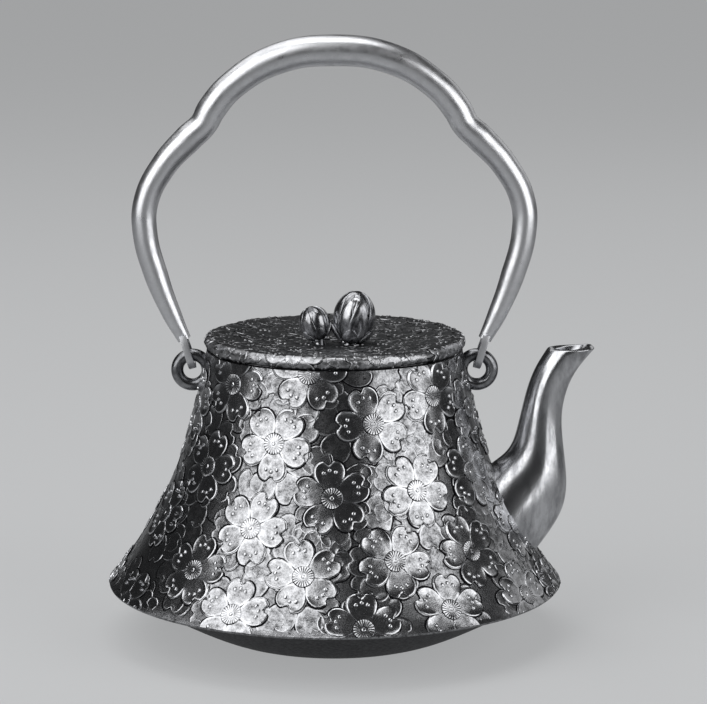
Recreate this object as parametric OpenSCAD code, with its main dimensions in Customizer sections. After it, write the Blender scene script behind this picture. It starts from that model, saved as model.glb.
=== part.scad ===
// Cast iron kettle with a flared, skirted body, a hooked bail and a two-bud lid.
// Millimetres, +Z up. The origin is on the table, on the body's own axis.
// The spout points along +X, and the bail stands in the XZ plane.

/* [Body] */
// Radius of the skirt's lower edge
skirt_r = 84; // [83:0.5:86]
// Height of the skirt's lower edge above the table
skirt_z = 19; // [18.5:0.5:20]
// Outer radius of the body at its mouth
mouth_r = 47.2; // [46.8:0.2:47.6]
// Height of the mouth's rim above the table
mouth_z = 107.5; // [107.5:0.5:108.5]
// Radius of the opening that the lid's flange drops into
opening_r = 41; // [40.6:0.2:41.4]
// Wall thickness of the body casting, measured level
wall = 4.4; // [4:0.1:4.8]

/* [Cast blossoms] */
// Height of the whole blossoms above the flank
blossom_h = 1; // [0.7:0.1:1.1]
// Height of the blossoms that show behind them
behind_h = 0.6; // [0.4:0.1:0.7]

/* [Base pan] */
// Radius of the flat foot that the kettle stands on
foot_r = 40; // [36:1:44]
// Wall thickness of the pan
pan_wall = 3; // [2.6:0.2:3.4]

/* [Spout] */
// Wall thickness of the spout
spout_wall = 2.1; // [1.8:0.1:2.4]
// Radius of the hole in the body wall behind the spout
port_r = 9; // [8:0.5:10]

/* [Lugs and hooks] */
// Distance of each lug ring's centre from the body's axis
lug_x = 52.5; // [52.2:0.1:52.8]
// Height of each lug ring's centre
lug_z = 99; // [98.6:0.1:99.4]
// Radius of the ring's centre line
lug_ring_r = 5.6; // [5.5:0.1:5.8]
// Radius of the bar that the ring is bent from
lug_bar_r = 2.25; // [2.1:0.05:2.3]
// Inner radius of the hook's eye
eye_r = 3.3; // [3.2:0.05:3.4]
// Thickness of the hook's strap
strap_t = 1.6; // [1.5:0.1:1.7]
// Width of the hook's strap
strap_w = 2.5; // [2.2:0.1:2.6]

/* [Bail] */
// Depth of the bail's oval section, as a share of its thickness
bail_depth = 1.06; // [0.95:0.01:1.15]

/* [Lid] */
// Radius of the lid's rounded rim
lid_r = 47.8; // [47.4:0.2:48.2]
// Height of the lid's rim above the mouth
lid_rim_h = 4.2; // [4:0.1:4.4]
// Depth of the dish in the lid's top
lid_dish = 3.2; // [2.8:0.1:3.4]

/* [Buds] */
// Height of the large bud from its foot to its tip
large_bud_h = 18.4; // [17:0.2:19]
// Height of the small bud from its foot to its tip
small_bud_h = 13; // [12:0.2:14]

/* [Hidden] */

$fn = 96;
eps = 0.01;
through = 400;                  // longer than anything that it cuts

iron = "#3c3d40";
pan_iron = "#232427";
steel = "#a3a5a8";
lid_iron = "#303134";

// --- curves ---

// A point on the cubic Bezier curve with the four control points p
function bezier(p, t) = let (u = 1 - t)
    u * u * u * p[0] + 3 * u * u * t * p[1] + 3 * u * t * t * p[2] + t * t * t * p[3];

// A list of n + 1 points along that curve, without its first one if skip is 1
function bezier_points(p, n, skip = 0) = [for (i = [skip : n]) bezier(p, i / n)];

// A point of the smooth curve through p1 and p2, between them
function blend(p0, p1, p2, p3, t) = 0.5 * (2 * p1 + (p2 - p0) * t
    + (2 * p0 - 5 * p1 + 4 * p2 - p3) * t * t + (3 * p1 - p0 - 3 * p2 + p3) * t * t * t);

// A smooth row of points through every knot, with n steps from each knot to the next
function smooth(knots, n) = let (last = len(knots) - 1)
    [for (i = [0 : last - 1], k = [0 : n - 1])
        blend(knots[max(i - 1, 0)], knots[i], knots[i + 1], knots[min(i + 2, last)], k / n),
     knots[last]];

// --- swept solids: each ring is an oval between two points of the XZ plane ---

// One ring: an oval from point a to point b, with half-width w along Y
function ring(a, b, w, sides) = let (mid = (a + b) / 2, half = (b - a) / 2)
    [for (i = [0 : sides - 1]) let (turn = 360 * i / sides)
        [mid[0] + half[0] * cos(turn), w * sin(turn), mid[1] + half[1] * cos(turn)]];

// Skins a row of rings, each [a, b, half-width], and closes both ends
module skin(rings, sides) {
    n = len(rings);
    points = [for (r = rings) each ring(r[0], r[1], r[2], sides)];
    walls = [for (j = [0 : n - 2], i = [0 : sides - 1]) let (k = (i + 1) % sides)
        [j * sides + i, j * sides + k, (j + 1) * sides + k, (j + 1) * sides + i]];
    start = [[for (i = [sides - 1 : -1 : 0]) i]];
    end = [[for (i = [0 : sides - 1]) (n - 1) * sides + i]];
    polyhedron(points, concat(walls, start, end), convexity = 6);
}

// --- body ---

// The flared flank, from the skirt's edge up to the mouth
flank = [[skirt_r, skirt_z], [skirt_r - 20, skirt_z + 26], [mouth_r + 6, skirt_z + 49], [mouth_r, mouth_z]];
edge_round = 0.9;               // rounding of the skirt's and the mouth's edges
flank_steps = 26;

// The inner flank, level with the outer one and one wall further in
seat_r = 78;                    // bore in the skirt that the pan's flange fits
seat_z = 24.5;                  // ledge that the flange stops against
inner_top_z = 101;
inner_flank = [[skirt_r - 4 - wall, seat_z], [skirt_r - 21 - wall, skirt_z + 29],
    [mouth_r + 6 - wall, skirt_z + 49], [mouth_r + 0.8 - wall, inner_top_z]];

module body_outside() {
    rotate_extrude() polygon(concat(
        [[0, skirt_z], [skirt_r - edge_round, skirt_z]],
        bezier_points(flank, flank_steps, 1),
        [[mouth_r - edge_round, mouth_z + edge_round / 2], [0, mouth_z + edge_round / 2]]));
}

module body_blank() {
    rotate_extrude() polygon(concat(
        [[seat_r, seat_z], [seat_r, skirt_z], [skirt_r - edge_round, skirt_z]],
        [for (a = [-60 : 30 : 0]) [skirt_r - edge_round + edge_round * cos(a), skirt_z + edge_round + edge_round * sin(a)]],
        [for (p = bezier_points(flank, flank_steps, 1)) if (p[1] < mouth_z - edge_round) p],
        [for (a = [0 : 30 : 90]) [mouth_r - edge_round + edge_round * cos(a), mouth_z - edge_round + edge_round * sin(a)]],
        [[opening_r, mouth_z], [opening_r, inner_top_z]],
        [for (i = [flank_steps : -1 : 0]) bezier(inner_flank, i / flank_steps)]));
}

// Where the spout's hole is drilled, and the slope of the wall's normal there
port = [65, 0, 48];
port_rise = 31;

module lug_tenon(r) {
    translate([lug_x - 9, 0, lug_z]) rotate([0, 90, 0]) cylinder(r = r, h = 5.4);
}

// --- cast blossoms ---

// Places of the whole blossoms on the front: degrees round from the front, distance down from
// the mouth, and the turn of the first petal. Others fill the room that these leave.
front_blossoms = [
    [-24, 27, 35], [-1, 45.5, -5], [30, 44.5, 37], [15.5, 19.5, -20], [-28, 58, 22], [-9, 74, -13],
    [31, 89, 10], [-27, 90, 5], [-48, 8, 13], [-11, 1.5, 2], [45, 12, 40], [-54, 39, 15],
    [18, 69, 33], [45, 69.5, -15], [58.5, 42, 12], [59, 91, 5], [7, 93.5, 0], [-44, 76.5, 5],
    [-72, 61, 20], [-78, 20, 0], [75, 67, 10]];
// Places without blossoms, under the lugs and the spout's root
bare_places = [[-90, 8.5], [90, 8.5], [90, 50], [90, 62], [90, 75]];
whole_gap = 23.5;               // least distance between the centres of two whole blossoms
behind_gap = 15;                // and of two blossoms behind them
hidden_near = 7;                // a blossom behind has its centre this far from a whole one's,
hidden_far = 9.5;               // at least and at most, so that only its petals' tips show
blossom_r = 12;                 // reach of a blossom
place_step = 3;                 // degrees between the places that are tried
place_rows = 40;                // rows of them, from the mouth to the skirt

// The flank from the mouth down, and the distance along it to each of its points
flank_down = [for (i = [flank_steps : -1 : 0]) bezier(flank, i / flank_steps)];
function run(points, i = 0, total = 0) = i == len(points) ? [] :
    let (so_far = i == 0 ? 0 : total + norm(points[i] - points[i - 1]))
    concat([so_far], run(points, i + 1, so_far));
flank_run = run(flank_down);
over = 20;                      // the flank goes on straight for this far, past both edges
edge_steps = [flank_down[0] - flank_down[1], flank_down[flank_steps] - flank_down[flank_steps - 1]];
flank_rows = concat([[-over, flank_down[0] + over * edge_steps[0] / norm(edge_steps[0])]],
    [for (i = [0 : flank_steps]) [flank_run[i], flank_down[i]]],
    [[flank_run[flank_steps] + over, flank_down[flank_steps] + over * edge_steps[1] / norm(edge_steps[1])]]);
radii = [for (row = flank_rows) [row[0], row[1][0]]];
heights = [for (row = flank_rows) [row[0], row[1][1]]];
edge_radii = [for (i = [1 : flank_steps + 1]) radii[i]];

// Distance between two places on the flank
function apart(a, b) = let (turn = (a[0] - b[0] + 540) % 360 - 180)
    norm([turn * PI / 180 * lookup((a[1] + b[1]) / 2, edge_radii), a[1] - b[1]]);
function nearest(p, places) = min([for (q = places) apart(p, q)]);

// All the places that are tried, from top to bottom
function spots(top, bottom) = [for (a = [-180 : place_step : 179], k = [0 : place_rows])
    [a, top + (bottom - top) * k / place_rows]];

// Adds places, each time where there is most room, until less than gap is left
function fill(placed, tried, room, gap) = max(room) < gap ? placed :
    let (best = tried[search(max(room), room)[0]], place = [best[0], best[1], (len(placed) * 37) % 72])
    fill(concat(placed, [place]), tried,
        [for (i = [0 : len(tried) - 1]) min(room[i], apart(tried[i], place))], gap);

function whole_blossoms() = let (tried = spots(0, 96), taken = concat(front_blossoms, bare_places))
    fill(front_blossoms, tried, [for (p = tried) nearest(p, taken)], whole_gap);
function blossoms_behind(whole) = let (
    tried = [for (p = spots(-2, 98)) let (d = nearest(p, whole)) if (d > hidden_near && d < hidden_far) p])
    fill([], tried, [for (p = tried) nearest(p, bare_places)], behind_gap);

petal_root = 1.2;               // depth that a petal reaches into the wall
petal_middle = 8.4;             // distance from a blossom's centre to the middle of a petal
half_petal = [[1.5, 3.1], [4.7, 6.3], [5.4, 9.8], [3.2, 13.1]];
notch = [[0, 11.9]];
disc_r = 3.7;                   // the disc of stamens

// Stands its children on the flank, a degrees round from the front and s down from the mouth
module on_flank(a, s) {
    slope = atan2(lookup(s + 1, radii) - lookup(s - 1, radii), lookup(s - 1, heights) - lookup(s + 1, heights));
    rotate(a) translate([0, -lookup(s, radii), lookup(s, heights)]) rotate([90 - slope, 0, 0]) children();
}

module petal(place, turn, h) {
    s = place[1] - petal_middle * cos(turn);
    on_flank(place[0] + petal_middle * sin(turn) / lookup(s, radii) * 180 / PI, s)
        rotate(-turn) translate([0, -petal_middle, -petal_root])
            linear_extrude(h + petal_root) polygon(concat(half_petal, notch,
                [for (i = [len(half_petal) - 1 : -1 : 0]) [-half_petal[i][0], half_petal[i][1]]]));
}

module cast_blossoms() {
    whole = whole_blossoms();
    for (p = whole) {
        for (k = [0 : 4]) petal(p, p[2] + 72 * k, blossom_h);
        on_flank(p[0], p[1]) translate([0, 0, -petal_root]) cylinder(r = disc_r, h = blossom_h + petal_root);
    }
    for (p = blossoms_behind(whole), k = [0 : 4]) {
        turn = p[2] + 72 * k;
        tip = [p[0] + blossom_r * sin(turn) / lookup(p[1], radii) * 180 / PI, p[1] - blossom_r * cos(turn)];
        if (nearest(tip, whole) > blossom_r) petal(p, turn, behind_h);
    }
}

// Room for the lugs and the spout's root, and the bare edges of the mouth and the skirt
lug_strip = 2.7;                // half the width of the strip that a lug stands on
root_long = 19.5;               // half the length and half the width of the spout's root
root_wide = 15;
module blossom_limits() {
    translate([0, 0, mouth_z - edge_round / 2]) cylinder(r = skirt_r, h = through);
    translate([0, 0, skirt_z + edge_round / 2 - through]) cylinder(r = skirt_r * 2, h = through);
    translate([-lug_x, 0, lug_z]) cube([2 * lug_x, 2 * lug_strip, 22], center = true);
    translate([lug_x, 0, lug_z]) cube([2 * lug_x, 2 * lug_strip, 22], center = true);
    translate(port) rotate([0, 90 - port_rise, 0]) linear_extrude(50, center = true)
        polygon([for (a = [0 : 15 : 345]) [root_long * cos(a), root_wide * sin(a)]]);
}

module body_shell() {
    color(iron) difference() {
        union() {
            body_blank();
            difference() {
                cast_blossoms();
                blossom_limits();
            }
        }
        translate(port) rotate([0, 90 - port_rise, 0]) cylinder(r = port_r, h = 40, center = true);
        lug_tenon(tenon_r);
        mirror([1, 0, 0]) lug_tenon(tenon_r);
    }
}

// --- base pan ---

flange_h = seat_z - skirt_z + 0.5;
pan_edge_z = seat_z - flange_h;
pan_bowl = [[foot_r, 0], [foot_r + 9, 1.6], [seat_r - 12, pan_edge_z - 6.5], [seat_r, pan_edge_z]];
pan_inside = [[seat_r - pan_wall, pan_edge_z + 1.6], [seat_r - 12 - pan_wall, pan_edge_z - 3.6],
    [foot_r + 9, pan_wall + 1.8], [foot_r - 1, pan_wall]];

module base_pan() {
    color(pan_iron) rotate_extrude() polygon(concat(
        [[0, 0]],
        bezier_points(pan_bowl, 12),
        [[seat_r, seat_z], [seat_r - pan_wall, seat_z]],
        bezier_points(pan_inside, 12),
        [[0, pan_wall]]));
}

// --- spout ---

// Each row: the outer edge's x and z, the inner edge's x and z, and the half-width along Y.
// The first row lies inside the body, where the wall's own face trims the root.
spout_rows = [
    [68, 22, 47, 54, 16.5],
    [75.9, 32, 58.4, 63.6, 14],
    [82.2, 40.8, 63.3, 67, 11.8],
    [85.8, 48.5, 65.9, 71, 10.2],
    [86.4, 57.5, 67.4, 75.8, 9],
    [85, 68.5, 68.8, 82, 8.1],
    [83.7, 79.5, 70.3, 88.6, 7.3],
    [84.7, 88.5, 71.9, 94.4, 6.9],
    [88.2, 98.2, 74.5, 100.7, 6.8],
    [96, 107, 78.7, 107.1, 6.8]];
spout_sides = 28;
spout_steps = 3;

// Rings of the spout, taken in by inset on every side
function spout_rings(inset) = [for (p = smooth(spout_rows, spout_steps))
    let (a = [p[0], p[1]], b = [p[2], p[3]], in = inset * (b - a) / norm(b - a))
        [a + in, b - in, p[4] - inset]];

// The passage runs on past the spout's mouth
function passage_rings() = let (rings = spout_rings(spout_wall), top = rings[len(rings) - 1])
    concat(rings, [[top[0] + [0.5, 2], top[1] + [0.2, 2], top[2]]]);

module spout() {
    color(iron) difference() {
        skin(spout_rings(0), spout_sides);
        skin(passage_rings(), spout_sides);
        body_outside();
    }
}

// --- lug rings ---

tenon_r = 2.1;

module lug() {
    difference() {
        translate([lug_x, 0, lug_z]) rotate([90, 0, 0]) rotate_extrude() translate([lug_ring_r, 0]) circle(lug_bar_r);
        body_outside();
    }
    lug_tenon(tenon_r);
}

module front_lug() {
    color(iron) lug();
}

module rear_lug() {
    color(iron) mirror([1, 0, 0]) lug();
}

// --- hooks: a strap bent round the top of each lug ring ---

hook_tilt = 16;                 // lean of the hook, away from the body
pivot = [53.6, 104.2];          // x and z of the eye's centre, on the bail's hinge axis
neck_z = 6.4;                   // from the eye's centre up to the bail's end
tongue_z = 8.4;                 // height of the tongue's tip
shank_r = 1.4;
shank_h = 6;
eye_out = eye_r + strap_t;

// Side outline of the hook: y across, z up, with the eye's centre at the origin
module hook_outline() {
    difference() {
        circle(eye_out);
        circle(eye_r);
        translate([-10, 0]) square([20, 10]);
    }
    polygon([[-eye_out, 0], [-eye_r, 0], [-eye_r, 5], [-3, tongue_z - 0.4], [-3.5, tongue_z],
        [-4.2, tongue_z - 0.3], [-eye_out, 5.5]]);
    polygon([[eye_r, 0], [eye_out, 0], [eye_out, 2.6], [2.4, neck_z], [-2.2, neck_z], [-2.2, 5.2],
        [0.6, 4.7], [2.6, 3.2], [eye_r, 1.6]]);
}

module place_hook() {
    translate([pivot[0], 0, pivot[1]]) rotate([0, hook_tilt, 0]) children();
}

module shank() {
    translate([0, 0, neck_z - eps]) cylinder(r = shank_r, h = shank_h + eps);
}

module hook() {
    place_hook() {
        rotate([90, 0, 90]) linear_extrude(strap_w, center = true) hook_outline();
        shank();
    }
}

module front_hook() {
    color(steel) hook();
}

module rear_hook() {
    color(steel) mirror([1, 0, 0]) hook();
}

// --- bail ---

bail_foot = pivot + neck_z * [sin(hook_tilt), cos(hook_tilt)];

// Half of the bail's centre line, from its foot to the crown: x, z and thickness
bail_half = [
    [bail_foot[0], bail_foot[1], 5],
    [60, 120, 7.1],
    [65.4, 134, 8.8],
    [69.4, 150, 9.1],
    [68.9, 161.5, 9.2],
    [62.4, 174.5, 9.6],
    [53.2, 184.6, 10.5],
    [47.8, 189.7, 10.1],
    [44.6, 195.4, 10.6],
    [37, 204, 10.5],
    [20.5, 213.6, 11.2],
    [0, 216.6, 11.5]];
bail_knots = concat(
    [for (k = bail_half) [-k[0], k[1], k[2]]],
    [for (i = [len(bail_half) - 2 : -1 : 0]) bail_half[i]]);
bail_sides = 16;
bail_steps = 4;
bail_line = smooth(bail_knots, bail_steps);
foot_way = [-sin(hook_tilt), cos(hook_tilt)];

// Direction of the bail's centre line at point i, and the ring across it there
function heading(i) = let (last = len(bail_line) - 1, d = bail_line[min(i + 1, last)] - bail_line[max(i - 1, 0)])
    i == 0 ? foot_way : i == last ? [-sin(hook_tilt), -cos(hook_tilt)] : [d[0], d[1]] / norm([d[0], d[1]]);
function bail_ring(i) = let (p = bail_line[i], h = heading(i), across = [-h[1], h[0]] * p[2] / 2)
    [[p[0], p[1]] + across, [p[0], p[1]] - across, bail_depth * p[2] / 2];

module bail() {
    color(steel) difference() {
        skin([for (i = [0 : len(bail_line) - 1]) bail_ring(i)], bail_sides);
        place_hook() shank();
        mirror([1, 0, 0]) place_hook() shank();
    }
}

// --- lid ---

lid_t = 3.1;                    // thickness of the lid's flat middle
lid_flat_r = 12;                // radius of that flat
lid_top = mouth_z + lid_rim_h - lid_dish;
rim_round = 1.7;
flange_play = 0.5;              // gap between the lid's flange and the body's mouth
flange_t = 2.2;
flange_z = 102.6;
lid_slope = [[lid_flat_r, lid_top], [24, lid_top + 0.2], [36, lid_top + 1.6], [lid_r - 4, mouth_z + lid_rim_h]];

// Places of the two buds' feet along X, and their tenons' radii
large_foot = [5.8, 2.75, 2];
small_foot = [-6.1, 2.1, 1.6];

module tenon_hole(foot) {
    translate([foot[0], 0, 0]) cylinder(r = foot[2], h = through);
}

module lid_plate() {
    flange_r = opening_r - flange_play;
    color(lid_iron) difference() {
        rotate_extrude() polygon(concat(
            [[0, lid_top]],
            bezier_points(lid_slope, 10),
            [for (a = [90 : -18 : -90]) [lid_r - rim_round + rim_round * cos(a),
                mouth_z + lid_rim_h / 2 + (lid_rim_h / 2) * sin(a)]],
            [[flange_r, mouth_z], [flange_r, flange_z], [flange_r - flange_t, flange_z],
                [flange_r - flange_t, lid_top - lid_t + 1.4], [lid_flat_r + 12, lid_top - lid_t],
                [0, lid_top - lid_t]]));
        tenon_hole(large_foot);
        tenon_hole(small_foot);
    }
}

// --- buds ---

washer_t = 1;
washer_z = lid_top - lid_t - washer_t;
head_t = 1;                     // peened end of each tenon

// A leaning bud on its foot, with a tenon that passes through the lid and is peened under a washer
module bud(foot, head_r, outline, lean) {
    translate([foot[0], 0, 0]) {
        translate([0, 0, lid_top + 1.4]) rotate([0, lean, 0])
            rotate_extrude() polygon(concat([[0, 0]], bezier_points(outline, 16)));
        translate([0, 0, lid_top]) cylinder(r = foot[1], h = 2.6);
        translate([0, 0, washer_z - head_t]) cylinder(r = foot[2], h = lid_top - washer_z + head_t + 1);
        translate([0, 0, washer_z - head_t]) cylinder(r = head_r, h = head_t);
    }
}

module large_bud() {
    h = large_bud_h;
    color(lid_iron) bud(large_foot, 3.1, [[1.6, 0], [12.2, 0.16 * h], [8.5, 0.84 * h], [0, h]], 10);
}

module small_bud() {
    h = small_bud_h;
    color(lid_iron) bud(small_foot, 2.6, [[1.4, 0], [8.5, 0.14 * h], [5.8, 0.86 * h], [0, h]], -20);
}

module washer(foot, r) {
    translate([foot[0], 0, washer_z]) difference() {
        cylinder(r = r, h = washer_t);
        translate([0, 0, -1]) cylinder(r = foot[2], h = washer_t + 2);
    }
}

module large_bud_washer() {
    color(steel) washer(large_foot, 4.6);
}

module small_bud_washer() {
    color(steel) washer(small_foot, 3.9);
}

body_shell();
base_pan();
spout();
rear_lug();
front_lug();
lid_plate();
large_bud();
small_bud();
large_bud_washer();
small_bud_washer();
bail();
rear_hook();
front_hook();
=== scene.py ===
# %% [markdown]
# # Cast iron kettle
# The kettle is cast in sand, blackened, and its raised blossoms are rubbed bright.
# Its solids come ready from the CAD frame: the body, pan, spout, lugs, lid, buds, hooks and bail.
# This lesson dresses them, so the frame is loaded first and nothing in it is moved.

# %% Load the frame
import math

import bpy
from mathutils import Matrix, Vector


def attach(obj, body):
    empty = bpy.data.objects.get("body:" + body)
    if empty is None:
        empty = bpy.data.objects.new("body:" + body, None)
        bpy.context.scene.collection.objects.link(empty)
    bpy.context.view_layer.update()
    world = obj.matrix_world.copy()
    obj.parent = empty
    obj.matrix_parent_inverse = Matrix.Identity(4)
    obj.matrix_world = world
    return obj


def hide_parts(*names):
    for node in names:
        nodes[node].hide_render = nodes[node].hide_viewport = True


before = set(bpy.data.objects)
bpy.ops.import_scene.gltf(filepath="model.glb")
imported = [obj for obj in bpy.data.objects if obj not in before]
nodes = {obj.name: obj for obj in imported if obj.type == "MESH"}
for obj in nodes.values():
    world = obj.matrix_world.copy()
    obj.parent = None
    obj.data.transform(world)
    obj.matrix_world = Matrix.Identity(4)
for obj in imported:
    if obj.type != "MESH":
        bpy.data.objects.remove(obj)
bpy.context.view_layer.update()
bpy.ops.object.select_all(action="DESELECT")
MM = 0.001
print("nodes:", sorted(nodes))

# %% [markdown]
# ## Camera
# The kettle is seen from a little above, nearly square on, from about a metre away.
# A long lens keeps the skirt's two ends level with its middle.
# It could be aimed with a Track To constraint; typed angles are simpler and never change.

# %% Place the camera
camera = bpy.data.objects.new("camera", bpy.data.cameras.new("camera"))
bpy.context.scene.collection.objects.link(camera)
camera.data.lens = 155.18
camera.data.sensor_width = 36
camera.data.clip_start = 0.05
camera.location = (0, -1.1065, 0.3052)
camera.rotation_euler = (math.radians(79.77), 0, math.radians(-0.36))
bpy.context.scene.camera = camera
print("camera:", round(camera.location.length, 2), "m from the middle of the kettle's foot")

# %% [markdown]
# ## Nodes for every material
# Colours are written as the sRGB hex codes that a colour picker shows.
# Blender works in linear light, so one function turns them.
# One more function adds a shader node, sets it and links it, which keeps each material short.
# The nodes could be drawn by hand in the shader editor; in code every setting can be read at once.

# %% Colour and node helpers
def linear(code):
    parts = [int(code[i:i + 2], 16) / 255 for i in (1, 3, 5)]
    return tuple(c / 12.92 if c <= 0.04045 else ((c + 0.055) / 1.055) ** 2.4 for c in parts) + (1.0,)


def add_node(tree, kind, inputs=None, **settings):
    made = tree.nodes.new(kind)
    for name, value in settings.items():
        setattr(made, name, value)
    for name, value in (inputs or {}).items():
        if isinstance(value, bpy.types.NodeSocket):
            tree.links.new(value, made.inputs[name])
        else:
            made.inputs[name].default_value = value
    return made


def new_material(name):
    made = bpy.data.materials.new(name)
    made.use_nodes = True
    made.node_tree.nodes.clear()
    return made, made.node_tree


# %% [markdown]
# ## Stage
# A wide pale table with an even pale room behind it, like the paper roll in a small studio.
# A curved backdrop could join the two; one flat plane and the world's colour are simpler,
# and only a view from low down shows the line where they meet.
# The table is matt paint, so that it keeps the kettle's shadow, and it also glows a little:
# evenly to the camera, and fading with distance in the iron's reflections.

# %% Table
def paper(name, colour, lit_colour, glow):
    made, tree = new_material(name)
    path = add_node(tree, "ShaderNodeLightPath")
    matt = add_node(tree, "ShaderNodeBsdfPrincipled", {
        "Base Color": linear(lit_colour), "Roughness": 0.9})
    light = add_node(tree, "ShaderNodeEmission", {"Color": linear(colour), "Strength": glow})
    both = add_node(tree, "ShaderNodeAddShader", {0: matt.outputs[0], 1: light.outputs[0]})
    # in reflections about half the glow shows at the kettle, and a fifth of it half a metre away
    place = add_node(tree, "ShaderNodeTexCoord").outputs["Object"]
    away = add_node(tree, "ShaderNodeVectorMath", {0: place}, operation="LENGTH")
    share = add_node(tree, "ShaderNodeMapRange", {
        "Value": away.outputs["Value"], "From Min": 0.15, "From Max": 0.45, "To Min": 0.55, "To Max": 0.18})
    seen = add_node(tree, "ShaderNodeMath", {
        0: path.outputs["Is Glossy Ray"], 1: share.outputs[0], 2: path.outputs["Is Camera Ray"]},
        operation="MULTIPLY_ADD")
    pick = add_node(tree, "ShaderNodeMixShader", {0: seen.outputs[0], 1: matt.outputs[0], 2: both.outputs[0]})
    add_node(tree, "ShaderNodeOutputMaterial", {"Surface": pick.outputs[0]})
    return made


bpy.ops.mesh.primitive_plane_add(size=16, location=(0, 0, 0))
floor = bpy.context.object
floor.name = "floor"
floor.data.materials.append(paper("pale_table", "#b4b5b6", "#808182", 0.76))
print("table:", round(floor.dimensions.x), "m wide")

# %% [markdown]
# ## Light
# Polished iron shows the shapes of its lamps, so two tall soft boxes stand in front of the kettle.
# The left one fills most of the left front, the right one stands further round.
# The dark gap between them is what draws the dark stripe down the middle of the body.
# A box overhead lights the top of the bail and the lid's rim, and two weak ones light the back.
# One large sky light would be simpler, but polished metal looks flat under it.

# %% Soft boxes
def soft_box(name, azimuth, elevation, distance, width, height, power):
    """Stands a soft box round the kettle: degrees from the front and up, metres, and watts."""
    turn, rise = math.radians(azimuth), math.radians(elevation)
    middle = Vector((0, 0, 0.08))       # each box looks at the middle of the kettle
    place = middle + distance * Vector((
        math.sin(turn) * math.cos(rise), -math.cos(turn) * math.cos(rise), math.sin(rise)))
    lamp = bpy.data.objects.new(name, bpy.data.lights.new(name, "AREA"))
    bpy.context.scene.collection.objects.link(lamp)
    lamp.data.shape = "RECTANGLE"
    lamp.data.size, lamp.data.size_y = width, height
    lamp.data.energy = power
    lamp.location = place
    lamp.rotation_euler = (middle - place).to_track_quat("-Z", "Y").to_euler()
    return lamp


soft_box("left_box", -49, 32.5, 1.5, 1.5, 1.92, 17.6)
soft_box("back_right_box", 135, 22, 1.5, 1.2, 0.8, 1.6)
soft_box("back_left_box", -140, 56, 1.5, 1.3, 1.0, 5)
soft_box("top_box", 0, 90, 1.5, 0.85, 0.85, 5.4)
right_box = soft_box("right_box", 57, 0, 1.0, 0.95, 0.96, 5.5)
right_box.location.z = 0.49         # this one is lifted, and stands upright on the table's right

# %% The room
# the iron sees a dim room, and behind the kettle the camera sees an even pale one
world = bpy.data.worlds.new("room")
bpy.context.scene.world = world
world.use_nodes = True
world.node_tree.nodes.clear()
path = add_node(world.node_tree, "ShaderNodeLightPath")
room = add_node(world.node_tree, "ShaderNodeBackground", {"Color": linear("#8b8c8e"), "Strength": 0.1})
wall = add_node(world.node_tree, "ShaderNodeBackground", {"Color": linear("#acacac"), "Strength": 1.0})
pick = add_node(world.node_tree, "ShaderNodeMixShader", {
    0: path.outputs["Is Camera Ray"], 1: room.outputs[0], 2: wall.outputs[0]})
add_node(world.node_tree, "ShaderNodeOutputWorld", {"Surface": pick.outputs[0]})
bpy.context.scene.view_settings.view_transform = "Standard"
print("room:", len(world.node_tree.nodes), "nodes")

# %% [markdown]
# ## Blackened iron with burnished relief
# Sand-cast iron is grey and grainy. It is blackened, and its raised parts are then rubbed back to bare metal.
# So one finish mixes two: black oxide in the hollows and burnished iron on the high edges.
# A number stored on each vertex of the blossoms says how far the rubbing has gone; it also holds painted
# shade at the feet of the relief and under the lid, and a painted highlight on the lid's rim.
# A painted mask could do the same, but the vertex number follows the modelled edges exactly.

# %% Iron with worn relief
# Noise scales are about 1000 divided by a size in millimetres.
patch_scale = 420               # patches of oxide 2.4 mm across
speck_scale = 1700              # specks left by the sand, 0.6 mm across; the real grains are finer still


def relief_finish(name, black, bare, wear, grain, rough_bare, mottle=0.8):
    """Wear says how far flat parts are rubbed, grain how deep the specks are,
    rough_bare how rough the bare metal is, and mottle how strong the patches are."""
    made, tree = new_material(name)
    place = add_node(tree, "ShaderNodeTexCoord").outputs["Object"]
    # the per-vertex number carries the rubbing, and also painted shade and a painted highlight
    wear_and_painted_light = add_node(tree, "ShaderNodeAttribute", attribute_name="wear_and_painted_light").outputs["Fac"]
    patch = add_node(tree, "ShaderNodeTexNoise", {"Vector": place, "Scale": patch_scale, "Detail": 3})
    speck = add_node(tree, "ShaderNodeTexNoise", {
        "Vector": place, "Scale": speck_scale, "Detail": 3, "Roughness": 0.7})
    uneven = add_node(tree, "ShaderNodeMath", {
        0: patch.outputs["Fac"], 1: speck.outputs["Fac"]}, operation="ADD")
    shift = add_node(tree, "ShaderNodeMath", {
        0: uneven.outputs[0], 1: mottle, 2: wear - mottle}, operation="MULTIPLY_ADD")
    bare_metal_share = add_node(tree, "ShaderNodeMath", {
        0: wear_and_painted_light, 1: shift.outputs[0]}, operation="ADD", use_clamp=True)
    colour = add_node(tree, "ShaderNodeMix", {
        "Factor": bare_metal_share.outputs[0], "A": linear(black), "B": linear(bare)}, data_type="RGBA")
    rough = add_node(tree, "ShaderNodeMapRange", {
        "Value": bare_metal_share.outputs[0], "From Max": 0.5, "To Min": 0.5, "To Max": rough_bare})
    bump = add_node(tree, "ShaderNodeBump", {
        "Height": speck.outputs["Fac"], "Strength": grain, "Distance": 0.1 * MM})
    shade = add_node(tree, "ShaderNodeBsdfPrincipled", {
        "Base Color": colour.outputs["Result"], "Metallic": 1.0, "Roughness": rough.outputs[0],
        "Normal": bump.outputs[0]})
    add_node(tree, "ShaderNodeOutputMaterial", {"Surface": shade.outputs[0]})
    return made


# whole blossoms, rubbed most: bright rims and a soft mirror on each petal, black in every groove
relief_iron = relief_finish("blackened_relief_iron", "#18181a", "#cfd0d3", 0.04, 0.25, 0.19, 1.15)
# petals behind them, which the cloth reaches less: a shade darker, with the same black grooves
behind_iron = relief_finish("blackened_low_relief_iron", "#18181a", "#c8c9cc", -0.08, 0.3, 0.2, 1.2)
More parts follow.
